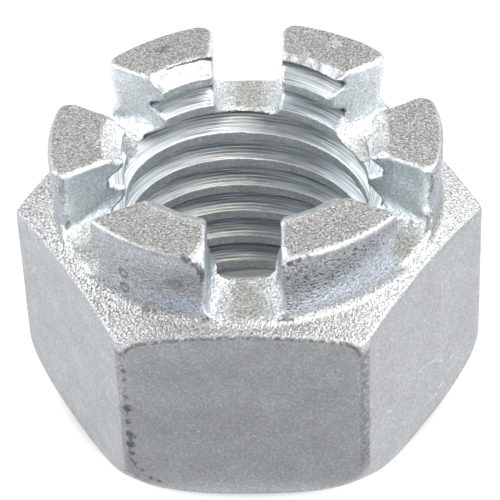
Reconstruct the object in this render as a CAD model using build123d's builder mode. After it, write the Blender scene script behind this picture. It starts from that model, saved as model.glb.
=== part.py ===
from build123d import *
import math
import os

# Castle nut, M20 x 2.5, one piece of forged steel.
# Millimetres. Origin at the centre of the bearing face, +Z along the thread
# axis towards the crown. Hexagon corners lie at 0, 60, 120 ... degrees about
# +Z, so flats face -Y and +Y. Each crown tooth stands over a hexagon corner,
# and each slot opens over the middle of a flat.

# --- driving dimensions ---
across_flats = 29.4
total_height = 21.1
slot_floor_height = 15.9      # bearing face to the floor of the slots
turned_radius = 16.85         # hexagon corners are turned to this radius
flat_top_height = 15.15       # top edge of a flat, at its middle
top_chamfer_deg = 20.0        # slope of the conical shoulder below the crown
base_round = 2.9              # rounding from the bearing face to the corners
crown_radius = 13.85
crown_root_fillet = 0.4       # concave fillet between shoulder and crown
crown_rim_round = 0.4         # outer rim of the teeth
slot_width = 5.1
slot_count = 6
slot_floor_fillet = 1.0       # corners of the slot floors
tooth_corner_round = 0.5      # upright outer corners of the teeth

thread_major_d = 20.0
thread_pitch = 2.5
bore_radius = 8.7             # crests of the internal thread
sink_top_radius = 10.1        # countersink mouth at the crown
sink_bottom_radius = 10.3     # countersink mouth at the bearing face
sink_slope_deg = 30.0         # 120 degrees included

# --- derived sizes ---
bearing_radius = turned_radius - base_round
slope = math.tan(math.radians(top_chamfer_deg))
corner_top_height = flat_top_height - (turned_radius - across_flats / 2) * slope
crown_root_height = flat_top_height + (across_flats / 2 - crown_radius) * slope
sink_slope = math.tan(math.radians(sink_slope_deg))
sink_top_depth = (sink_top_radius - bore_radius) * sink_slope
sink_bottom_depth = (sink_bottom_radius - bore_radius) * sink_slope
slot_step = 360.0 / slot_count

with BuildPart() as castle_nut:
    # forged hexagonal blank, as tall as the crown
    with BuildSketch(Plane.XY):
        RegularPolygon(radius=across_flats / 2, side_count=6, major_radius=False)
    extrude(amount=total_height)

    # turned outline: rounded base, shoulder cone, root fillet, crown, rim
    with BuildSketch(Plane.XZ) as castle_outline:
        with BuildLine():
            Polyline(
                (0, 0),
                (turned_radius, 0),
                (turned_radius, corner_top_height),
                (crown_radius, crown_root_height),
                (crown_radius, total_height),
                (0, total_height),
                close=True,
            )
        outline = make_face()
        for corner, radius in (
            ((turned_radius, 0), base_round),
            ((crown_radius, crown_root_height), crown_root_fillet),
            ((crown_radius, total_height), crown_rim_round),
        ):
            fillet(
                outline.vertices().sort_by_distance(corner)[0],
                radius=radius,
            )
            outline = castle_outline.sketch_local
    revolve(axis=Axis.Z, mode=Mode.INTERSECT)

    # threaded bore at the crest radius, with a countersink at each end
    with BuildSketch(Plane.XZ):
        with BuildLine():
            Polyline(
                (0, 0),
                (sink_bottom_radius, 0),
                (bore_radius, sink_bottom_depth),
                (bore_radius, total_height - sink_top_depth),
                (sink_top_radius, total_height),
                (0, total_height),
                close=True,
            )
        make_face()
    revolve(axis=Axis.Z, mode=Mode.SUBTRACT)

    # six slots, cut right across in pairs, with filleted floors
    slot_height = total_height - slot_floor_height + 2.0
    for i in range(slot_count // 2):
        across = Plane(
            origin=(0, 0, slot_floor_height),
            x_dir=Vector(1, 0, 0).rotate(Axis.Z, i * slot_step),
            z_dir=Vector(0, 1, 0).rotate(Axis.Z, i * slot_step),
        )
        with BuildSketch(across):
            with Locations((0, -slot_height / 2)):
                slot_shape = Rectangle(slot_width, slot_height)
            fillet(
                slot_shape.vertices().group_by(Axis.Y)[-1],
                radius=slot_floor_fillet,
            )
        extrude(amount=turned_radius + 2, both=True, mode=Mode.SUBTRACT)

    # upright outer corners of the six teeth
    tooth_edges = [
        e
        for e in castle_nut.edges().filter_by(Axis.Z)
        if abs(math.hypot(e.center().X, e.center().Y) - crown_radius) < 0.02
        and e.center().Z > slot_floor_height
    ]
    fillet(tooth_edges, radius=tooth_corner_round)

castle_nut.part.label = "castle_nut"

os.makedirs("parts", exist_ok=True)
export_step(castle_nut.part, "parts/castle_nut.step")
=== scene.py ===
import math
import time

import bpy
import numpy as np
from mathutils import Matrix, Vector


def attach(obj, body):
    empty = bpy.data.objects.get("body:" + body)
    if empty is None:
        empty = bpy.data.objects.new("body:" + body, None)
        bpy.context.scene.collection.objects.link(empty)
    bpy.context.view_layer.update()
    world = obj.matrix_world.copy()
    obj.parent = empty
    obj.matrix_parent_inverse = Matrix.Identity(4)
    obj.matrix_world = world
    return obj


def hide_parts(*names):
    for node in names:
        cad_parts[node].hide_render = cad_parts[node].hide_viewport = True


T0 = time.time()
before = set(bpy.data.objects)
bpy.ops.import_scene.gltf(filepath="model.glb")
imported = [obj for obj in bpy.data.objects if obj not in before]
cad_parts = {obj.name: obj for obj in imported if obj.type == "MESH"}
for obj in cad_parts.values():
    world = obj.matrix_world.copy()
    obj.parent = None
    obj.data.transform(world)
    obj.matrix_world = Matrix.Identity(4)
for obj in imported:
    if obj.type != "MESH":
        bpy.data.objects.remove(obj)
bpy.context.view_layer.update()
scene = bpy.context.scene

# ---------------------------------------------------------------- dimensions
# millimetres, as in the construction model
HALF_AF = 14.7
TURNED_R = 16.85
HEIGHT = 21.1
SLOT_FLOOR = 15.9
FLAT_TOP = 15.15
SHOULDER = math.radians(20.0)
BASE_ROUND = 2.9
CROWN_R = 13.85
ROOT_FILLET = 0.4
SLOT_HALF = 2.55
MAJOR_R = 10.0
MINOR_R = 8.74
PITCH = 2.5
SINK_TOP = 10.1
SINK_BOTTOM = 10.3
GROOVE_AT_90 = 12.978          # height of a groove's middle on the +Y side
GROOVE_ROOT_HALF = PITCH / 16
TWIST = math.radians(1.2)      # crown against hexagon, a forging tolerance
F32 = np.float32


def rmax(a, b, r):
    """Intersection of two solids with a rounded edge of radius r."""
    if not isinstance(r, np.ndarray):
        r = F32(r)
    u = np.maximum(a + r, 0)
    v = np.maximum(b + r, 0)
    return np.minimum(-r, np.maximum(a, b)) + np.sqrt(u * u + v * v)


def rmin(a, b, r):
    """Union of two solids with a fillet of radius r."""
    return -rmax(-a, -b, r)


# ---------------------------------------------------------------- lattice noise
def _hash(ix, iy, iz, seed):
    h = (
        ix.astype(np.uint32) * np.uint32(374761393)
        + iy.astype(np.uint32) * np.uint32(668265263)
        + iz.astype(np.uint32) * np.uint32(2147483647)
        + np.uint32(seed) * np.uint32(974634777)
    )
    h = (h ^ (h >> np.uint32(13))) * np.uint32(1274126177)
    h = h ^ (h >> np.uint32(16))
    return (h & np.uint32(0xFFFFFF)).astype(F32) / F32(0xFFFFFF) * 2 - 1


def noise(x, y, z, scale, seed):
    """Smooth value noise, -1 to 1, with features about `scale` mm across."""
    x, y, z = np.broadcast_arrays(x / scale, y / scale, z / scale)
    fx, fy, fz = np.floor(x), np.floor(y), np.floor(z)
    ix, iy, iz = (q.astype(np.int64) + 4096 for q in (fx, fy, fz))
    tx, ty, tz = ((p - q).astype(F32) for p, q in ((x, fx), (y, fy), (z, fz)))
    tx, ty, tz = (t * t * t * (t * (t * 6 - 15) + 10) for t in (tx, ty, tz))
    out = 0
    for dx in (0, 1):
        wx = tx if dx else 1 - tx
        for dy in (0, 1):
            wy = ty if dy else 1 - ty
            for dz in (0, 1):
                wz = tz if dz else 1 - tz
                out = out + _hash(ix + dx, iy + dy, iz + dz, seed) * wx * wy * wz
    return out


# ---------------------------------------------------------------- the nut's form
def step(x, lo, hi):
    t = np.clip((x - lo) / (hi - lo), 0, 1)
    return t * t * (3 - 2 * t)


def near(x, centre, width):
    """Bell of height 1 round `centre`, gone `width` away from it."""
    return step(width - np.abs(x - centre), 0, width)


# The tapped thread isn't quite square to the nut: how far it stands off the
# true helix (mm), by angle round the bore (degrees).
LEAN_AT = np.radians([-270, -220, -195, -160, -120, -90, -30, 25, 45, 90, 105, 140, 165, 200])
LEAN_MM = np.array([0.0, 0.35, 0.43, 0.3, -0.1, -0.4, -0.3, -0.14, -0.07, 0.0, 0.13, 0.35, 0.43, 0.3])


LEAN_TABLE = None


def lean_smooth(theta, z):
    """The lean from LEAN_AT and LEAN_MM, blurred along the angle, so it has no corners."""
    global LEAN_TABLE
    if LEAN_TABLE is None:
        grid = np.linspace(-np.pi, np.pi, 721)[:-1]
        v = np.interp(grid, LEAN_AT, LEAN_MM)
        k = np.exp(-0.5 * (np.arange(-60, 61) / 20.0) ** 2)
        v = np.convolve(np.concatenate([v, v, v]), k / k.sum(), "same")[720:1440]
        LEAN_TABLE = np.append(v, v[0])
    u = (theta + F32(np.pi)) * F32(720 / (2 * np.pi))
    i = np.clip(u.astype(np.int32), 0, 719)
    f = u - i
    t = (LEAN_TABLE[i] * (1 - f) + LEAN_TABLE[i + 1] * f).astype(F32)
    return t + F32(0.12) * near(theta, F32(1.97), F32(0.5)) * step(z, 15.9, 17.0)


def parts(x, y, z):
    """Signed distances (mm, negative inside the metal) of the nut's features."""
    rho = np.sqrt(x * x + y * y)
    theta = np.arctan2(y, x)
    sin_s, cos_s = F32(math.sin(SHOULDER)), F32(math.cos(SHOULDER))

    # hexagon: corners on the X axis, flats facing Y
    hexd = None
    for k in range(3):
        a = math.radians(90 + 60 * k)
        d = np.abs(x * F32(math.cos(a)) + y * F32(math.sin(a))) - F32(HALF_AF)
        hexd = d if hexd is None else rmax(hexd, d, 0.45)
    turned = rmax(rho - F32(TURNED_R), -z, BASE_ROUND)
    cone = (rho - F32(HALF_AF)) * sin_s + (z - F32(FLAT_TOP)) * cos_s
    body = rmax(rmax(hexd, turned, 0.22), cone, 0.3)
    waist = F32(0.2) * near(z, F32(17.5), F32(2.4)) - F32(0.1) * step(z, 18.4, 20.2)
    wall = np.maximum(rho - F32(CROWN_R) + waist, 8 - z)
    outer = rmin(body, wall, ROOT_FILLET)

    # slots: the floor is scooped towards the bore, the mouth a little belled
    inward = step(-rho, -13.0, -9.4)
    slots = across = None
    for k in range(3):
        a = math.radians(60 * k) + TWIST
        v = np.abs(x * F32(math.cos(a)) + y * F32(math.sin(a)))
        half = F32(SLOT_HALF - 0.03) + F32(0.2) * near(z, F32(16.9), F32(1.5)) * (1 - inward)
        rise = F32(0.7) * inward * np.minimum(v / F32(SLOT_HALF), 1.3) ** 2
        rise = rise + F32(0.4) * step(v, 0.7, 1.5) * step(-rho, -10.6, -9.4) * step(-y, 5.0, 7.0)
        s = rmax(v - half, F32(SLOT_FLOOR) + rise - z, 0.7 + 0.7 * inward)
        across = v if slots is None else np.where(s < slots, v, across)
        slots = s if slots is None else np.minimum(slots, s)

    # thread: a helical groove cut from the bore, right-handed
    zg = z - F32(GROOVE_AT_90) - F32(PITCH) * (theta - F32(math.pi / 2)) / F32(2 * math.pi)
    zg = zg - lean_smooth(theta, z)
    zg = zg - F32(PITCH) * np.round(zg / F32(PITCH))
    c30, s30 = F32(math.cos(math.pi / 6)), F32(0.5)
    flank = (np.abs(zg) - F32(GROOVE_ROOT_HALF)) * c30 - (F32(MAJOR_R) - rho) * s30
    groove = rmax(flank, rho - F32(MAJOR_R), 0.15)
    bore = rmin(rho - F32(MINOR_R), groove, 0.05)
    sink_t = (rho - F32(SINK_TOP)) * s30 - (z - F32(HEIGHT)) * c30
    sink_b = (rho - F32(SINK_BOTTOM)) * s30 + z * c30
    bore = rmin(rmin(bore, sink_t, 0.03), sink_b, 0.03)
    return outer, slots, bore, rho, np.abs(zg), theta, across


# Corners that came out of the die under-filled: a point on the bevel, the way
# it faces, and how it is rounded into the tooth.
BEVELS = [
    ((-3.07, -13.28, 21.1), (0.729, -0.30, 0.615), 0.12),
    ((3.45, -13.42, 21.1), (-0.78, -0.33, 0.531), 0.12),
]


def nut(x, y, z):
    outer, slots, bore, rho, zg, theta, across = parts(x, y, z)
    corner = 0.12 + (0.3 + 0.85 * step(y, -9.0, -6.5)) * step(z, 16.2, 17.8) + 0.4 * step(-across, -2.2, -1.2) * step(-z, -16.8, -16.2)
    f = rmax(outer, -slots, corner)
    for at, way, r in BEVELS:
        w = np.array(way) / np.linalg.norm(way)
        d = [q - F32(c) for q, c in zip((x, y, z), at)]
        cut = d[0] * F32(w[0]) + d[1] * F32(w[1]) + d[2] * F32(w[2])
        far = np.sqrt(d[0] ** 2 + d[1] ** 2 + d[2] ** 2)
        f = rmax(f, cut - 10 * step(far, 2.6, 3.6), r)
    f = rmax(f, z - F32(HEIGHT), 0.42)
    return rmax(f, -bore, 0.06 + 0.22 * step(-np.abs(slots), -0.7, -0.1) * step(z, 16.2, 16.8))


# ---------------------------------------------------------------- surface
def surface(field, lo, hi, h):
    """Closed quad mesh of field = 0, by surface nets on a grid of pitch h."""
    n = [int(math.ceil((b - a) / h)) + 1 for a, b in zip(lo, hi)]
    ax = [(a + h * np.arange(k)).astype(F32) for a, k in zip(lo, n)]
    F = np.empty(n, F32)
    step = 16
    for k in range(0, n[2], step):
        F[:, :, k : k + step] = field(
            ax[0][:, None, None], ax[1][None, :, None], ax[2][None, None, k : k + step]
        )
    S = F < 0
    # cells that the surface crosses
    any_in = np.zeros([k - 1 for k in n], bool)
    all_in = np.ones([k - 1 for k in n], bool)
    for i in (0, 1):
        for j in (0, 1):
            for k in (0, 1):
                c = S[i : n[0] - 1 + i, j : n[1] - 1 + j, k : n[2] - 1 + k]
                any_in |= c
                all_in &= c
    cells = np.argwhere(any_in & ~all_in)
    index = np.full(any_in.shape, -1, np.int64)
    index[cells[:, 0], cells[:, 1], cells[:, 2]] = np.arange(len(cells))
    total = np.zeros((len(cells), 3), np.float64)
    count = np.zeros(len(cells))
    for axis in range(3):
        others = [a for a in range(3) if a != axis]
        for p in (0, 1):
            for q in (0, 1):
                o = np.zeros(3, int)
                o[others[0]], o[others[1]] = p, q
                a = cells + o
                b = a.copy()
                b[:, axis] += 1
                fa = F[a[:, 0], a[:, 1], a[:, 2]].astype(np.float64)
                fb = F[b[:, 0], b[:, 1], b[:, 2]].astype(np.float64)
                cross = (fa < 0) != (fb < 0)
                t = np.where(cross, fa / np.where(cross, fa - fb, 1), 0)
                pt = a.astype(np.float64)
                pt[:, axis] += t
                total[cross] += pt[cross]
                count[cross] += 1
    verts = np.array(lo) + h * total / count[:, None]
    # one quad round each grid edge that crosses the surface
    faces = []
    for axis in range(3):
        u, v = [(1, 2), (2, 0), (0, 1)][axis]
        sl0 = [slice(None)] * 3
        sl1 = [slice(None)] * 3
        sl0[axis] = slice(0, n[axis] - 1)
        sl1[axis] = slice(1, n[axis])
        s0, s1 = S[tuple(sl0)], S[tuple(sl1)]
        for flip, hit in ((False, s0 & ~s1), (True, ~s0 & s1)):
            e = np.argwhere(hit)
            ok = (e[:, u] > 0) & (e[:, v] > 0) & (e[:, u] < n[u] - 1) & (e[:, v] < n[v] - 1)
            e = e[ok]
            q = []
            for du, dv in ((-1, -1), (0, -1), (0, 0), (-1, 0)):
                c = e.copy()
                c[:, u] += du
                c[:, v] += dv
                q.append(index[c[:, 0], c[:, 1], c[:, 2]])
            q = np.stack(q[::-1] if flip else q, 1)
            faces.append(q)
    return verts, np.vstack(faces)


def gradient(field, p, e=0.02):
    g = np.empty_like(p)
    for k in range(3):
        d = np.zeros(3)
        d[k] = e
        a, b = p + d, p - d
        g[:, k] = (field(a[:, 0], a[:, 1], a[:, 2]) - field(b[:, 0], b[:, 1], b[:, 2])) / (2 * e)
    return g


def project(field, p, rounds=2, most=0.08):
    """Moves points onto field = 0."""
    for _ in range(rounds):
        f = field(p[:, 0], p[:, 1], p[:, 2])
        g = gradient(field, p)
        g2 = np.maximum((g * g).sum(1), 0.25)
        s = np.clip(f / g2, -most, most)
        p = p - g * s[:, None]
    return p


def build_nut(h, target):
    verts, quads = surface(nut, (-17.3, -15.3, -0.45), (17.3, 15.3, 21.6), h)
    print("nets", len(verts), len(quads), round(time.time() - T0, 1))
    me = bpy.data.meshes.new("castle_nut_body")
    me.vertices.add(len(verts))
    me.vertices.foreach_set("co", verts.astype(F32).ravel())
    me.loops.add(len(quads) * 4)
    me.loops.foreach_set("vertex_index", quads.astype(np.int32).ravel())
    me.polygons.add(len(quads))
    me.polygons.foreach_set("loop_start", np.arange(0, len(quads) * 4, 4, dtype=np.int32))
    me.polygons.foreach_set("loop_total", np.full(len(quads), 4, dtype=np.int32))
    me.update(calc_edges=True)
    me.validate()
    obj = bpy.data.objects.new("castle_nut_body", me)
    scene.collection.objects.link(obj)
    verts = project(nut, verts, 2)
    verts = project(skin, verts, 2)
    me.vertices.foreach_set("co", verts.astype(F32).ravel())
    tri = obj.modifiers.new("tri", "TRIANGULATE")
    dec = obj.modifiers.new("dec", "DECIMATE")
    dec.decimate_type = "COLLAPSE"
    dec.ratio = min(1.0, target / (2.0 * len(quads)))
    deps = bpy.context.evaluated_depsgraph_get()
    new = bpy.data.meshes.new_from_object(obj.evaluated_get(deps))
    verts = None
    obj.modifiers.clear()
    obj.data = new
    bpy.data.meshes.remove(me)
    new.name = "castle_nut_body"
    print("decimated", len(new.vertices), len(new.polygons), round(time.time() - T0, 1))
    return obj


def coords(me):
    co = np.empty(len(me.vertices) * 3, F32)
    me.vertices.foreach_get("co", co)
    return co.reshape(-1, 3).astype(np.float64)


def relief(p):
    """Forging waviness, burrs and crinkles: how far each point stands out (mm)."""
    x, y, z = (p[:, k].astype(F32) for k in range(3))
    outer, slots, bore, rho, zg, theta, across = parts(x, y, z)
    in_bore = step(-bore - np.maximum(outer, -slots), -0.15, 0.1)
    out = 1 - in_bore
    crown = step(z, 15.3, 16.2)
    slot = step(-slots - outer, -0.3, 0.1) * crown * out
    floor = near(z, F32(16.3), F32(1.3)) * slot
    d = 0.022 * noise(x, y, z, 2.6, 1) + 0.012 * noise(x, y, z, 1.1, 2)
    d = d * out
    d = d + crown * out * (0.016 * noise(x, y, z, 1.7, 3) + 0.012 * noise(x, y, z, 0.7, 4))
    d = d + floor * 0.05 * noise(x, y, z, 0.55, 5)
    lip = near(bore, F32(0), F32(0.7)) * near(z, F32(SLOT_FLOOR), F32(0.8)) * step(-slots, -0.4, 0.4)
    d = d + lip * (0.09 + 0.10 * noise(x, y, z, 0.8, 6))
    rim = near(bore, F32(0), F32(0.5)) * step(z, 20.4, 20.9)
    d = d + rim * (0.03 + 0.07 * noise(x, y, z, 0.6, 7))
    torn = near(slots, F32(0), F32(0.55)) * near(bore, F32(0), F32(0.5)) * step(z, 15.6, 16.2)
    d = d + torn * 0.09 * noise(x, y, z, 0.5, 8)
    return d.astype(np.float64)


def skin(x, y, z):
    """The nut with its relief, for points near its surface."""
    p = np.stack([x, y, z], 1)
    return nut(x.astype(F32), y.astype(F32), z.astype(F32)).astype(np.float64) - relief(p)


nut_obj = build_nut(0.15, 188000)
me = nut_obj.data
p = coords(me)
p = project(skin, p, 2, 0.05)
g = gradient(skin, p, 0.03)
nrm = g / np.maximum(np.linalg.norm(g, axis=1), 1e-6)[:, None]
me.vertices.foreach_set("co", (p * 0.001).astype(F32).ravel())
me.polygons.foreach_set("use_smooth", np.ones(len(me.polygons), bool))
me.update()
me.normals_split_custom_set_from_vertices(nrm.tolist())
print("normals", round(time.time() - T0, 1))

# ---------------------------------------------------------------- surface masks
x, y, z = (p[:, k].astype(F32) for k in range(3))
nx, ny, nz = (nrm[:, k] for k in range(3))
outer, slots, bore, rho, zg, theta, across = parts(x, y, z)
in_bore = step(-bore - np.maximum(np.maximum(outer, -slots), z - HEIGHT), -0.06, 0.04)
out = 1 - in_bore
top = step(z, 20.55, 20.95) * step(nz, 0.75, 0.95) * out
slot = step(-slots - outer, -0.12, 0.12) * step(z, 15.5, 15.9) * out * (1 - top)
slot_floor = slot * step(nz, 0.35, 0.85)
slot_side = slot - slot_floor
crown_wall = out * (1 - slot) * (1 - top) * step(z, 15.7, 16.4)
foot = step(z, 15.0, 15.25) * step(-rho, -14.7, -14.5)
shoulder = out * (1 - slot) * (1 - step(z, 15.7, 16.4)) * np.maximum(step(nz, 0.55, 0.8), foot)
flat = out * (1 - slot) * (1 - crown_wall) * (1 - shoulder) * (1 - top) * step(z, 0.0, 0.5)
crest = in_bore * step(-rho, -8.95, -8.8) * (1 - step(np.abs(nz), 0.3, 0.55))
flank = in_bore - crest
inner = nut((x - 0.35 * nx).astype(F32), (y - 0.35 * ny).astype(F32), (z - 0.35 * nz).astype(F32))
outer_d = nut((x + 0.35 * nx).astype(F32), (y + 0.35 * ny).astype(F32), (z + 0.35 * nz).astype(F32))
convex = np.clip((inner + 0.35) / 0.35, 0, 1)
concave = np.clip((0.35 - outer_d) / 0.35, 0, 1)
masks = dict(top=top, slot_floor=slot_floor, slot_side=slot_side, wall=crown_wall,
             shoulder=shoulder, flat=flat, crest=crest, flank=flank)

sink = in_bore * step(z, 20.25, 20.45) * step(nz, 0.4, 0.6)
flank = flank * (1 - sink)
crest = crest * (1 - sink)
masks.update(crest=crest, flank=flank, sink=sink)

# tone per surface, fitted to each surface's brightness: partly the finish's own colour, partly painted light
TONE = dict(
    top=(0.352, 0.350, 0.343), slot_floor=(0.472, 0.478, 0.465), slot_side=(0.606, 0.653, 0.682),
    wall=(0.380, 0.402, 0.431), shoulder=(0.423, 0.430, 0.433), flat=(0.398, 0.414, 0.433),
    crest=(0.70, 0.735, 0.75), flank=(0.58, 0.627, 0.66), sink=(0.52, 0.535, 0.54),
)
ROUGH = dict(top=0.46, slot_floor=0.42, slot_side=0.42, wall=0.42, shoulder=0.40, flat=0.48, crest=0.5, flank=0.42, sink=0.35)
SPARK = dict(top=1.6, slot_floor=1.25, slot_side=0.55, wall=0.8, shoulder=1.1, flat=0.3, crest=0.6, flank=0.05, sink=1.2)
total = sum(masks.values())
tone = np.zeros((len(p), 4))
rough = np.zeros(len(p))
spark = np.zeros(len(p))
for key, m_ in masks.items():
    tone[:, :3] += m_[:, None] * np.array(TONE[key])
    rough += m_ * ROUGH[key]
    spark += m_ * SPARK[key]
k = np.maximum(total, 1e-3)
tone[:, :3] /= k[:, None]
tone[:, 3] = 1
rough /= k
spark /= k
rest = total < 0.05
tone[rest, :3] = TONE["flat"]
rough[rest] = ROUGH["flat"]
spark[rest] = SPARK["flat"]


def put(name, kind, values):
    a = me.attributes.new(name, kind, "POINT")
    key = {"FLOAT": "value", "FLOAT_VECTOR": "vector", "FLOAT_COLOR": "color"}[kind]
    a.data.foreach_set(key, np.ascontiguousarray(values, F32).ravel())


# low, broad variation of the plating, then rounded edges lightened: painted highlight
cloud = 1 + 0.05 * noise(x, y, z, 2.4, 21) + 0.03 * noise(x, y, z, 0.9, 22)
tone[:, :3] *= cloud[:, None]
tone[:, :3] *= (1 + 0.45 * convex * out)[:, None]
rough -= 0.08 * convex * out


def shade(mask, *rgb):
    """Multiplies the tone by rgb where mask is 1."""
    tone[:, :3] *= 1 + mask[:, None] * (np.array(rgb) - 1)


deg = np.degrees(theta)
# slot floors: sides lightened, a painted highlight on their fillets; the middle darkened, a painted shade
slot_floor_side_highlight = slot_floor * step(np.abs(across), 0.7, 1.7)
shade(slot_floor_side_highlight, 1.24, 1.28, 1.33)
shade(slot_floor * (1 - step(np.abs(across), 0.4, 1.3)), 0.89, 0.875, 0.86)
rim = out * step(z, 20.3, 20.6) * step(nz, 0.12, 0.3) * (1 - step(nz, 0.86, 0.97))
# tooth rims at the front lightened a little: painted highlight
shade(rim * step(-y, -6, 2), 1.04, 1.03, 1.03)
# crown, front right: darker above and paler, bluer towards the shoulder; partly the finish, partly painted light, the
# foot lifted as painted reflection
fr = crown_wall * step(deg, -80, -74) * step(-deg, 33, 40)
turn = 17.2 + 0.092 * (deg + 71)
high = step(z, turn - 1.0, turn + 0.8)
shade(fr * high * (1 - rim), 0.75, 0.74, 0.73)
shade(fr * (1 - high), 1.17, 1.2, 1.25)
# crown, front left: lighter and bluish at the foot, partly the finish's tint, partly painted reflection lifting the
# foot
fl_ = crown_wall * step(deg, -150, -143) * step(-deg, 98, 103)
shade(fl_ * step(-z, -17.4, -16.2), 1.08, 1.10, 1.13)
shade(fl_ * near(deg, -108, 9) * near(z, 16.6, 1.3), 0.93, 0.97, 1.12)
# the lower countersink is turned, not threaded, so the painted root shade of the thread is lifted there
put("plain", "FLOAT", in_bore * step(-z, -1.75, -1.35))

# painted shade: a blotchy, brownish darker line where the front flat meets its rounded frame
sin_s, cos_s = math.sin(SHOULDER), math.cos(SHOULDER)
cone = (rho - HALF_AF) * sin_s + (z - FLAT_TOP) * cos_s
turned = rmax(rho - F32(TURNED_R), -z, BASE_ROUND)
frame_in = -rmax(turned / F32(0.49), cone.astype(F32), 1.2)
face = step(-ny, 0.45, 0.8) * step(-y, 13.8, 14.2)
along = np.maximum(step(z, 12.6, 14.0), 0.62 * step(x, 6.0, 7.0) * step(z, 2.0, 3.5))
along = np.maximum(along, 0.42 * step(-x, 5.5, 6.5) * step(z, 0.9, 1.6))
# the rounding outside the frame, high on the front flat, lightened: painted highlight
shade(face * step(-frame_in, 0.0, 0.18) * step(z, 11.5, 12.5), 1.2, 1.2, 1.19)
put("frame", "FLOAT", frame_in)
put("frame_shade", "FLOAT", along * face)
put("fibre", "FLOAT", flat)

put("tone", "FLOAT_COLOR", tone)
spark *= 1 + 0.5 * shoulder * step(-x, 7, 10) - 0.5 * sink * step(y, 4, 6)
put("rough", "FLOAT", rough)
put("spark", "FLOAT", spark * (1 - 0.35 * rim))
put("drag", "FLOAT", slot_side)
put("pits", "FLOAT", crown_wall * (0.3 + 0.7 * step(x, -1, 3) * (0.25 + 0.75 * step(z, turn - 1.2, turn + 0.4)))
    * (1 - step(z, 20.25, 20.6)))
put("along", "FLOAT_VECTOR", np.stack([np.cos(theta) * 1.3, np.sin(theta) * 1.3, zg * 18 + 0.7 * z], 1))

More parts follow.
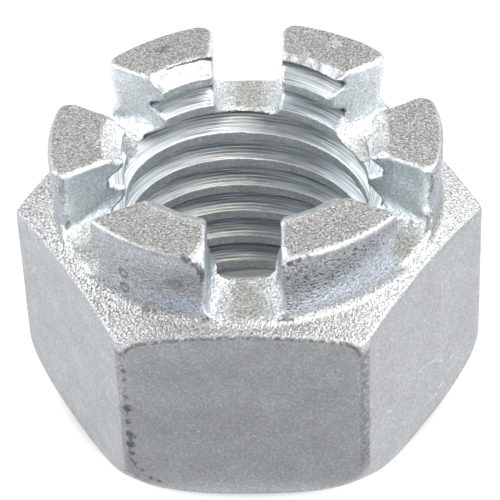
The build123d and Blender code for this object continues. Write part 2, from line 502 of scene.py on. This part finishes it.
# ---------------------------------------------------------------- material
class Shader:
    """A few shorthands for building one node material."""

    def __init__(self, name):
        self.mat = bpy.data.materials.new(name)
        self.mat.use_nodes = True
        self.tree = self.mat.node_tree
        self.bsdf = self.tree.nodes["Principled BSDF"]
        self.bsdf.inputs["Metallic"].default_value = 1.0

    def node(self, kind, **kw):
        n = self.tree.nodes.new(kind)
        for a, v in kw.items():
            setattr(n, a, v)
        return n

    def link(self, a, b):
        self.tree.links.new(a, b)

    def attr(self, name, out="Fac"):
        return self.node("ShaderNodeAttribute", attribute_type="GEOMETRY", attribute_name=name).outputs[out]

    def math(self, op, *args):
        n = self.node("ShaderNodeMath", operation=op)
        for i, v in enumerate(args):
            if isinstance(v, (int, float)):
                n.inputs[i].default_value = v
            else:
                self.link(v, n.inputs[i])
        return n.outputs[0]

    def add(self, a, *rest):
        for r in rest:
            a = self.math("ADD", a, r)
        return a

    def mul(self, a, *rest):
        for r in rest:
            a = self.math("MULTIPLY", a, r)
        return a

    def mm(self, scale=(1, 1, 1)):
        n = self.node("ShaderNodeVectorMath", operation="MULTIPLY")
        self.link(self.node("ShaderNodeTexCoord").outputs["Object"], n.inputs[0])
        n.inputs[1].default_value = [1000 * s for s in scale]
        return n.outputs[0]

    def noise(self, v, scale, detail=2.0, rough=0.5):
        n = self.node("ShaderNodeTexNoise")
        self.link(v, n.inputs["Vector"])
        n.inputs["Scale"].default_value = scale
        n.inputs["Detail"].default_value = detail
        n.inputs["Roughness"].default_value = rough
        return n.outputs["Fac"]

    def cells(self, v, scale):
        n = self.node("ShaderNodeTexVoronoi", feature="F1")
        self.link(v, n.inputs["Vector"])
        n.inputs["Scale"].default_value = scale
        return n.outputs["Distance"]

    def ramp(self, v, lo, hi, a=0.0, b=1.0):
        n = self.node("ShaderNodeMapRange", clamp=True)
        self.link(v, n.inputs["Value"])
        for k, q in (("From Min", lo), ("From Max", hi), ("To Min", a), ("To Max", b)):
            n.inputs[k].default_value = q
        return n.outputs["Result"]

    def ragged(self, v, amount):
        """Coordinates shaken by noise, so spots painted with them have ragged edges."""
        n = self.node("ShaderNodeTexNoise")
        self.link(v, n.inputs["Vector"])
        n.inputs["Scale"].default_value = 3.2
        n.inputs["Detail"].default_value = 2.0
        a = self.node("ShaderNodeVectorMath", operation="SUBTRACT")
        self.link(n.outputs["Color"], a.inputs[0])
        a.inputs[1].default_value = (0.5, 0.5, 0.5)
        b = self.node("ShaderNodeVectorMath", operation="MULTIPLY_ADD")
        self.link(a.outputs[0], b.inputs[0])
        b.inputs[1].default_value = (amount, amount, amount)
        self.link(v, b.inputs[2])
        return b.outputs[0]

    def spots(self, v, table):
        """Strongest of a list of spots or strokes: end, end, radius (mm), strength."""
        out = None
        for a, b, r, weight in table:
            d = self.node("ShaderNodeVectorMath", operation="DISTANCE")
            if a == b:
                self.link(v, d.inputs[0])
                d.inputs[1].default_value = a
            else:
                a_, b_ = Vector(a), Vector(b)
                way = (b_ - a_).normalized()
                s1 = self.node("ShaderNodeVectorMath", operation="SUBTRACT")
                self.link(v, s1.inputs[0])
                s1.inputs[1].default_value = a_
                s2 = self.node("ShaderNodeVectorMath", operation="DOT_PRODUCT")
                self.link(s1.outputs[0], s2.inputs[0])
                s2.inputs[1].default_value = way
                t = self.ramp(s2.outputs["Value"], 0.0, (b_ - a_).length, 0.0, (b_ - a_).length)
                s3 = self.node("ShaderNodeVectorMath", operation="SCALE")
                s3.inputs[0].default_value = way
                self.link(t, s3.inputs["Scale"])
                self.link(s1.outputs[0], d.inputs[0])
                self.link(s3.outputs[0], d.inputs[1])
            k = self.ramp(d.outputs["Value"], r, 0.55 * r, 0.0, weight)
            out = k if out is None else self.math("MAXIMUM", out, k)
        return out

    def dim(self, colour, amount, *loss):
        """Colour less `loss` (a share of each channel) times amount."""
        a = self.node("ShaderNodeVectorMath", operation="SCALE")
        a.inputs[0].default_value = [-q for q in loss]
        self.link(amount, a.inputs["Scale"])
        b = self.node("ShaderNodeVectorMath", operation="MULTIPLY_ADD")
        self.link(colour, b.inputs[0])
        self.link(a.outputs[0], b.inputs[1])
        self.link(colour, b.inputs[2])
        return b.outputs[0]

    def tint(self, colour, factor):
        n = self.node("ShaderNodeVectorMath", operation="SCALE")
        self.link(colour, n.inputs[0])
        self.link(factor, n.inputs["Scale"])
        self.link(n.outputs[0], self.bsdf.inputs["Base Color"])

    def rough(self, v):
        self.link(v, self.bsdf.inputs["Roughness"])

    def bump(self, height_mm):
        n = self.node("ShaderNodeBump")
        n.inputs["Strength"].default_value = 1.0
        n.inputs["Distance"].default_value = 0.001
        self.link(height_mm, n.inputs["Height"])
        self.link(n.outputs["Normal"], self.bsdf.inputs["Normal"])


def dots(*rows):
    return [((x_, y_, z_), (x_, y_, z_), r_, w_) for x_, y_, z_, r_, w_ in rows]


def stroke(r, w, *points):
    return [(a, b, r, w) for a, b in zip(points, points[1:])]


# brown spots and smears down the front flat's left edge, stains on the crown, and painted shade at the front-right
# tooth's cut corner
DIRT_AND_SHADE = dots(
    (-8.2, -14.7, 12.0, 0.32, 0.8), (-8.2, -14.7, 11.2, 0.26, 0.8), (-8.25, -14.7, 9.6, 0.28, 0.8),
    (-8.15, -14.7, 8.5, 0.46, 0.95), (-8.2, -14.7, 7.2, 0.34, 0.85), (-8.15, -14.7, 6.0, 0.42, 0.95),
    (-7.7, -14.7, 5.9, 0.22, 0.7), (-8.15, -14.7, 5.0, 0.46, 1.0), (-8.1, -14.7, 4.2, 0.32, 0.9),
    (-7.9, -14.6, 3.3, 0.22, 0.9), (-7.4, -14.6, 2.6, 0.22, 0.8), (-6.8, -14.6, 1.8, 0.26, 0.9),
    (-6.3, -14.6, 1.5, 0.2, 0.9), (8.4, -14.6, 8.2, 0.16, 0.8),
    (-4.36, -13.2, 18.4, 0.8, 0.45), (-6.5, -12.3, 15.55, 0.4, 0.8), (-5.95, -12.55, 15.5, 0.24, 0.75),
    (-2.6, -13.65, 17.4, 0.17, 0.8), (-3.15, -13.52, 17.45, 0.24, 1.0), (-3.0, -13.55, 17.25, 0.2, 1.0),
    (-2.55, -13.66, 16.84, 0.17, 0.8), (-2.2, -13.7, 15.9, 0.24, 1.0), (-2.5, -13.65, 15.7, 0.2, 0.9),
    (-3.84, -13.36, 19.26, 0.3, 0.3), (-7.6, -11.9, 15.5, 0.24, 0.4), (-9.2, -11.0, 15.5, 0.3, 0.35),
    (-9.9, -10.6, 15.2, 0.3, 0.35), (-8.7, -11.8, 14.9, 0.28, 0.35),
    # dark marks round the front-right tooth's cut corner: painted shade
    (3.43, -13.4, 20.6, 0.3, 0.9), (4.0, -13.25, 20.75, 0.28, 0.9), (4.62, -13.05, 20.8, 0.24, 0.7),
    (2.95, -13.5, 20.2, 0.2, 0.8), (5.0, -12.9, 18.9, 0.14, 0.8), (6.6, -12.2, 18.6, 0.13, 0.8),
    (-6.5, 10.3, 21.1, 0.55, 0.55), (-6.1, 10.7, 21.1, 0.3, 0.6), (-0.2, 9.9, 8.7, 0.3, 0.7),
) + stroke(
    0.3, 0.95, (-3.61, -13.35, 20.95), (-3.1, -13.5, 20.7), (-2.76, -13.6, 20.4), (-2.52, -13.67, 19.9), (-2.42, -13.69, 19.4)
) + stroke(
    0.15, 0.62, (-8.3, -14.7, 12.6), (-8.3, -14.7, 9.2), (-8.25, -14.7, 6.4), (-8.2, -14.7, 3.6), (-7.7, -14.6, 2.7)
) + stroke(0.2, 0.75, (-8.1, -14.7, 6.1), (-8.0, -14.7, 4.9)) + stroke(
    0.2, 0.7, (-8.25, -14.7, 8.9), (-8.15, -14.7, 8.2)
) + stroke(0.11, 0.6, (-7.4, -14.6, 2.4), (-6.4, -14.6, 1.5)
) + stroke(0.2, 0.8, (-2.42, -13.69, 19.4), (-2.5, -13.67, 18.4)) + stroke(
    0.14, 0.9, (2.5, -13.65, 15.72), (3.5, -13.4, 15.6)
) + stroke(0.34, 0.7, (-12.6, -4.5, 20.6), (-12.65, -4.5, 19.4)) + stroke(
    0.24, 0.55, (-12.65, -4.5, 19.4), (-12.65, -4.4, 18.2)
) + stroke(0.28, 0.8, (-12.55, -4.38, 17.3), (-12.6, -4.5, 16.3)) + stroke(
    0.3, 0.7, (12.84, -4.0, 20.55), (13.06, -3.95, 19.8), (13.07, -3.83, 18.9)
) + stroke(0.24, 0.6, (13.07, -3.83, 18.9), (12.95, -3.75, 17.4)) + stroke(
    0.3, 0.8, (12.9, -3.8, 16.9), (12.82, -4.4, 15.98))
PALE = dots(
    (0.6, -14.7, 5.9, 0.1, 1.0), (-3.2, -14.7, 6.3, 0.09, 0.8), (10.1, -11.9, 5.6, 0.2, 0.4),
    (-10.1, -11.9, 10.1, 0.24, 0.35), (-9.6, -12.7, 8.0, 0.24, 0.35), (-9.8, -12.5, 9.2, 0.2, 0.35),
    (6.25, 10.84, 21.1, 0.62, 0.40), (3.5, -9.6, 21.1, 0.5, 0.3), (4.2, -9.3, 21.1, 0.4, 0.3),
) + stroke(0.09, 0.6, (12.26, -8.16, 5.9), (12.56, -7.65, 6.0)) + stroke(
    0.08, 0.45, (12.9, -7.1, 5.7), (13.5, -6.1, 5.2), (14.0, -5.2, 4.2)) + stroke(
    0.09, 0.6, (14.5, -4.2, 3.5), (14.8, -3.8, 3.6)) + stroke(
    0.08, 0.5, (13.72, -5.63, 2.0), (14.03, -5.1, 2.0)) + stroke(
    0.08, 0.5, (12.82, -7.2, 2.0), (13.57, -5.9, 1.7))
RINGS_ = [(-8.12, -11.16, 17.76, 0.36), (-8.06, -11.2, 16.54, 0.33)]

# plated skin: blasted, forged and cropped surfaces
m = Shader("zinc_plate")
here = m.mm()
grain = m.noise(here, 5.6, 2.0, 0.6)
fine = m.noise(here, 11.0, 1.0, 0.5)
beads = m.cells(here, 5.2)
glint = m.ramp(m.noise(here, 6.4, 0.0, 0.5), 0.64, 0.74)
mottle = m.noise(here, 0.9, 3.0, 0.6)
peel = m.noise(m.mm((1, 1, 1.35)), 4.1, 2.0, 0.55)
drags = m.noise(m.mm((6, 6, 0.8)), 1.0, 2.0, 0.6)
curl = m.math("ABSOLUTE", m.math("SUBTRACT", m.noise(here, 2.6, 2.0, 0.6), 0.5))
spark, pits, drag, fibre = m.attr("spark"), m.attr("pits"), m.attr("drag"), m.attr("fibre")
g = m.ramp(grain, 0.36, 0.64, -1, 1)
f = m.add(1.0, m.mul(g, spark, 0.19), m.mul(m.ramp(fine, 0.36, 0.64, -1, 1), spark, 0.12), m.mul(m.ramp(beads, 0.15, 0.75, 1, -1), spark, 0.16), m.mul(glint, spark, 0.42))
f = m.mul(f, m.add(1.0, m.mul(m.ramp(peel, 0.35, 0.46, -1, 0.14), pits, 0.72)))
f = m.mul(f, m.add(1.0, m.mul(m.ramp(drags, 0.3, 0.7, -1, 1), drag, 0.07)))
f = m.mul(f, m.add(1.0, m.mul(m.ramp(curl, 0.045, 0.0, -0.2, 1.0), fibre, 0.23)))
f = m.mul(f, m.ramp(mottle, 0.3, 0.7, 0.95, 1.05), m.ramp(fine, 0.3, 0.7, 0.94, 1.06))
rag = m.ragged(here, 0.5)
slight = m.ragged(here, 0.16)
f = m.mul(f, m.add(1.0, m.mul(m.spots(slight, PALE), 0.8)))
dirt_and_shade = m.spots(rag, DIRT_AND_SHADE)
for x_, y_, z_, r_ in RINGS_:
    d = m.node("ShaderNodeVectorMath", operation="DISTANCE")
    m.link(slight, d.inputs[0])
    d.inputs[1].default_value = (x_, y_, z_)
    off = m.math("ABSOLUTE", m.math("SUBTRACT", d.outputs["Value"], r_))
    dirt_and_shade = m.math("MAXIMUM", dirt_and_shade, m.ramp(off, 0.18, 0.05, 0.0, 0.62))
blotchy = m.ramp(m.noise(here, 3.0, 2.0, 0.6), 0.34, 0.56, 0.25, 1.0)
line = m.ramp(m.math("ABSOLUTE", m.math("SUBTRACT", m.attr("frame"), 0.15)), 0.17, 0.06)
dirt_and_shade = m.math("MAXIMUM", dirt_and_shade, m.mul(line, m.attr("frame_shade"), blotchy, 0.95))
# the tone darkened and browned by stains, by the painted shade at that corner and by the painted frame line
m.tint(m.dim(m.attr("tone", "Color"), dirt_and_shade, 0.64, 0.66, 0.68), f)
m.rough(m.add(m.attr("rough"), m.mul(g, -0.05), m.mul(dirt_and_shade, 0.15)))
m.bump(m.add(
    m.mul(grain, spark, 0.05), m.mul(beads, spark, -0.03), m.mul(fine, 0.006),
    m.mul(m.ramp(peel, 0.34, 0.54), pits, 0.06), m.mul(drags, drag, 0.012)))
plate = m.mat

# tapped thread: fine tool lines that run round the helix, darkened in the root as painted shade
m = Shader("zinc_thread")
lines = m.noise(m.attr("along", "Vector"), 1.0, 2.0, 0.6)
hair = m.noise(m.attr("along", "Vector"), 1.9, 1.0, 0.5)
grain = m.noise(m.mm(), 5.5, 2.0, 0.6)
spark = m.attr("spark")
n = m.node("ShaderNodeVectorMath", operation="LENGTH")
m.link(m.mm((1, 1, 0)), n.inputs[0])
deep = m.ramp(n.outputs["Value"], MAJOR_R, MINOR_R)
curve = m.node("ShaderNodeValToRGB")
m.link(deep, curve.inputs["Fac"])
# deep runs from 0 at the root to 1 at the crest; the root is darkened to 0.3, a painted shade in the groove
stops = [(0.0, 0.3), (0.08, 0.34), (0.15, 1.0), (0.4, 1.0), (0.6, 0.95), (0.78, 0.9)]
while len(curve.color_ramp.elements) < len(stops):
    curve.color_ramp.elements.new(0.5)
for e_, (at, v_) in zip(curve.color_ramp.elements, stops):
    e_.position = at
    e_.color = (v_, v_, v_, 1)
g = m.ramp(grain, 0.36, 0.64, -1, 1)
f = m.add(1.0, m.mul(m.ramp(lines, 0.36, 0.64, -1, 1), 0.26), m.mul(m.ramp(hair, 0.36, 0.64, -1, 1), 0.24))
root_shade = m.math("MULTIPLY_ADD", m.math("SUBTRACT", 1.0, curve.outputs["Color"]), m.attr("plain"), curve.outputs["Color"])
f = m.mul(f, root_shade, m.add(1.0, m.mul(g, spark, 0.22)))
m.tint(m.attr("tone", "Color"), f)
m.rough(m.add(m.attr("rough"), m.mul(m.ramp(lines, 0.3, 0.7, -1, 1), 0.04)))
m.bump(m.add(m.mul(lines, 0.03), m.mul(hair, 0.012), m.mul(grain, spark, 0.05)))
m.bsdf.inputs["Anisotropic"].default_value = 0.35
t_ = m.node("ShaderNodeTangent", direction_type="RADIAL", axis="Z")
m.link(t_.outputs[0], m.bsdf.inputs["Tangent"])
thread = m.mat

me.materials.clear()
me.materials.append(plate)
me.materials.append(thread)
tri = np.empty(len(me.polygons) * 3, np.int32)
me.polygons.foreach_get("vertices", tri)
is_thread = flank[tri.reshape(-1, 3)].mean(1) > 0.5
me.polygons.foreach_set("material_index", is_thread.astype(np.int32))
me.update()

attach(nut_obj, "root")
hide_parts("castle_nut")

# ---------------------------------------------------------------- stage
def plane(name, size, z):
    m = bpy.data.meshes.new(name)
    s = size / 2
    m.from_pydata([(-s, -s, z), (s, -s, z), (s, s, z), (-s, s, z)], [], [(0, 1, 2, 3)])
    o = bpy.data.objects.new(name, m)
    scene.collection.objects.link(o)
    return o


floor = plane("floor", 2.0, -0.00002)
fm = bpy.data.materials.new("floor_white")
fm.use_nodes = True
fb = fm.node_tree.nodes["Principled BSDF"]
fb.inputs["Base Color"].default_value = (0.2, 0.2, 0.2, 1)
fb.inputs["Roughness"].default_value = 0.9
fb.inputs["Emission Color"].default_value = (1, 1, 1, 1)
# the floor glows like a light table; under the nut and round its foot the glow is turned down, a painted shadow
g_ = fm.node_tree.nodes.new("ShaderNodeTexCoord")
v_ = fm.node_tree.nodes.new("ShaderNodeVectorMath")
v_.operation = "LENGTH"
r_ = fm.node_tree.nodes.new("ShaderNodeMapRange")
r_.interpolation_type = "SMOOTHSTEP"
for key, val in (("From Min", 0.0132), ("From Max", 0.0160), ("To Min", 0.2), ("To Max", 0.9)):
    r_.inputs[key].default_value = val
fm.node_tree.links.new(g_.outputs["Object"], v_.inputs[0])
fm.node_tree.links.new(v_.outputs["Value"], r_.inputs["Value"])
fm.node_tree.links.new(r_.outputs["Result"], fb.inputs["Emission Strength"])
floor.data.materials.append(fm)

# grey card on the floor before the nut, seen only in its reflections
card_me = bpy.data.meshes.new("card")
card_me.from_pydata(
    [(-0.02, -0.08, 0.0001), (0.02, -0.08, 0.0001), (0.0135, -0.0157, 0.0001), (-0.0135, -0.0157, 0.0001)], [], [(0, 1, 2, 3)])
card = bpy.data.objects.new("card", card_me)
scene.collection.objects.link(card)
cm = bpy.data.materials.new("card_grey")
cm.use_nodes = True
cb = cm.node_tree.nodes["Principled BSDF"]
cb.inputs["Base Color"].default_value = (0.02, 0.02, 0.02, 1)
cb.inputs["Roughness"].default_value = 0.9
cb.inputs["Emission Color"].default_value = (1, 1, 1, 1)
cb.inputs["Emission Strength"].default_value = 0.56
card_me.materials.append(cm)
card.visible_camera = card.visible_shadow = False

# pale backdrop that only the camera sees, so the boxes alone light the nut
dome_v, dome_f = [], []
for i in range(9):
    e = math.radians(90 * i / 8) * 0.999
    for j in range(32):
        a = 2 * math.pi * j / 32
        dome_v.append((0.99 * math.cos(a) * math.cos(e), 0.99 * math.sin(a) * math.cos(e), 0.99 * math.sin(e)))
for i in range(8):
    for j in range(32):
        k = (j + 1) % 32
        dome_f.append((i * 32 + j, (i + 1) * 32 + j, (i + 1) * 32 + k, i * 32 + k))
dome_me = bpy.data.meshes.new("backdrop")
dome_me.from_pydata(dome_v, [], dome_f)
dome = bpy.data.objects.new("backdrop", dome_me)
scene.collection.objects.link(dome)
dm = bpy.data.materials.new("backdrop_white")
dm.use_nodes = True
db = dm.node_tree.nodes["Principled BSDF"]
db.inputs["Base Color"].default_value = (0, 0, 0, 1)
db.inputs["Specular IOR Level"].default_value = 0.0
db.inputs["Emission Color"].default_value = (1, 1, 1, 1)
db.inputs["Emission Strength"].default_value = 1.0
dome_me.materials.append(dm)
dome.visible_diffuse = dome.visible_glossy = dome.visible_transmission = False
dome.visible_volume_scatter = dome.visible_shadow = False

world = bpy.data.worlds.new("studio")
world.use_nodes = True
world.node_tree.nodes["Background"].inputs["Color"].default_value = (1, 1, 1, 1)
world.node_tree.nodes["Background"].inputs["Strength"].default_value = 0.0
scene.world = world


def area(name, azimuth, elevation, distance, size, power, color=(1, 1, 1), target=(0, 0, 0.01)):
    l = bpy.data.lights.new(name, "AREA")
    l.shape = "RECTANGLE"
    l.size, l.size_y = size
    l.energy = power
    l.color = color
    o = bpy.data.objects.new(name, l)
    a, e = math.radians(azimuth), math.radians(elevation)
    t = Vector(target)
    o.location = t + distance * Vector((math.sin(a) * math.cos(e), -math.cos(a) * math.cos(e), math.sin(e)))
    o.rotation_euler = (t - o.location).to_track_quat("-Z", "Y").to_euler()
    scene.collection.objects.link(o)
    return o


# a ring of soft boxes; elevation (degrees), size (m), then azimuth: radiance
RINGS = [
    (62, (0.18, 0.18), {60: 3.37, 120: 2.13, 240: 2.13, 300: 0.65}),
    (34, (0.22, 0.18), {0: 3.13, 45: 3.68, 90: 4.18, 135: 3.32, 180: 1.5, 225: 1.61, 270: 4.89, 315: 0.78}),
    (11, (0.26, 0.12), {0: 2.69, 45: 2.61, 135: 0.95, 180: 1.08, 225: 1.83, 270: 1.54}),
]
for el, size, ring in RINGS:
    for az, radiance in ring.items():
        box = area("box_%d_%d" % (el, az), az, el, 0.35, size, math.pi * size[0] * size[1] * radiance)
        box.visible_camera = False
        if (el, az) == (62, 60):
            box.data.color = (1.0, 0.92, 0.80)

# ---------------------------------------------------------------- camera
cam_data = bpy.data.cameras.new("camera")
cam = bpy.data.objects.new("camera", cam_data)
scene.collection.objects.link(cam)
scene.camera = cam
cam_data.sensor_fit = "HORIZONTAL"
cam_data.sensor_width = 36.0
cam_data.lens = 191.05
cam_data.clip_start = 0.005
cam_data.clip_end = 10.0
AZ, EL, DIST, ROLL = math.radians(3.427), math.radians(39.827), 0.1934, math.radians(-2.485)
centre = Vector((0, 0, 0.01051))
back = Vector((math.sin(AZ) * math.cos(EL), -math.cos(AZ) * math.cos(EL), math.sin(EL)))
fwd = -back
right = Vector((math.cos(AZ), math.sin(AZ), 0))
up = right.cross(fwd)
r2 = right * math.cos(ROLL) + up * math.sin(ROLL)
u2 = up * math.cos(ROLL) - right * math.sin(ROLL)
m = Matrix.Identity(4)
for i in range(3):
    m[i][0], m[i][1], m[i][2], m[i][3] = r2[i], u2[i], back[i], (centre + back * DIST)[i]
cam.matrix_world = m

scene.view_settings.view_transform = "Standard"
scene.view_settings.look = "None"

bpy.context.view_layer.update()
print("scene", round(time.time() - T0, 1))
